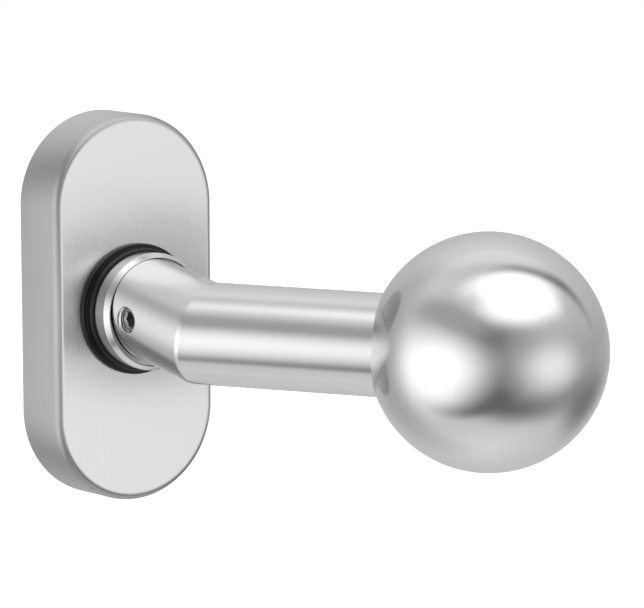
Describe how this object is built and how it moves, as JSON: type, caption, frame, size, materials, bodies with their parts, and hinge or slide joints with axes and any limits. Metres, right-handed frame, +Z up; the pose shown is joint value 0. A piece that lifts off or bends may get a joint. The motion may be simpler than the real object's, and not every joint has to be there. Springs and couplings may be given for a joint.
{
  "type": "cranked ball door knob",
  "caption": "Cranked door knob: a ball on a mitred round arm and neck, turning in a flat oval rose for a narrow door frame.",
  "frame": {"origin": "where the spindle axis meets the door face, at the middle of the rose's back", "axes": "+Y along the spindle axis into the door, +Z up along the rose's long axis, +X to the side that the ball stands on"},
  "size_m": [0.0706, 0.1022, 0.07],
  "materials": {
    "satin_steel": "satin brushed stainless steel",
    "polished_steel": "polished stainless steel",
    "plated_steel": "zinc-plated steel",
    "spring_steel": "oiled spring steel",
    "cast_zinc": "as cast",
    "black_plastic": "moulded black acetal",
    "bearing_plastic": "natural acetal"
  },
  "bodies": {
    "rose": {"rose_cover": "satin_steel", "bearing_bush": "black_plastic", "base_plate": "cast_zinc", "back_plate": "plated_steel", "back_plate_screws": "plated_steel", "fixing_screws": "plated_steel", "cover_clips": "spring_steel", "journal_bearing": "bearing_plastic", "thrust_washer": "bearing_plastic", "stop_pins": "plated_steel", "return_spring_left": "spring_steel", "return_spring_right": "spring_steel"},
    "knob": {"neck": "satin_steel", "arm": "satin_steel", "ball": "satin_steel", "ball_insert": "plated_steel", "ball_stud": "plated_steel", "grub_screw": "plated_steel", "bearing_collar": "polished_steel", "driver_plate": "plated_steel", "wave_washer": "spring_steel", "retaining_ring": "spring_steel"}
  },
  "joints": [
    {"name": "knob_turn", "type": "hinge", "parent": "rose", "child": "knob", "pos_m": [0, 0, 0], "axis": [0, -1, 0], "range_deg": [-35, 35], "stiffness_Nm_per_rad": 2, "deforming": ["return_spring_left", "return_spring_right"]}
  ]
}
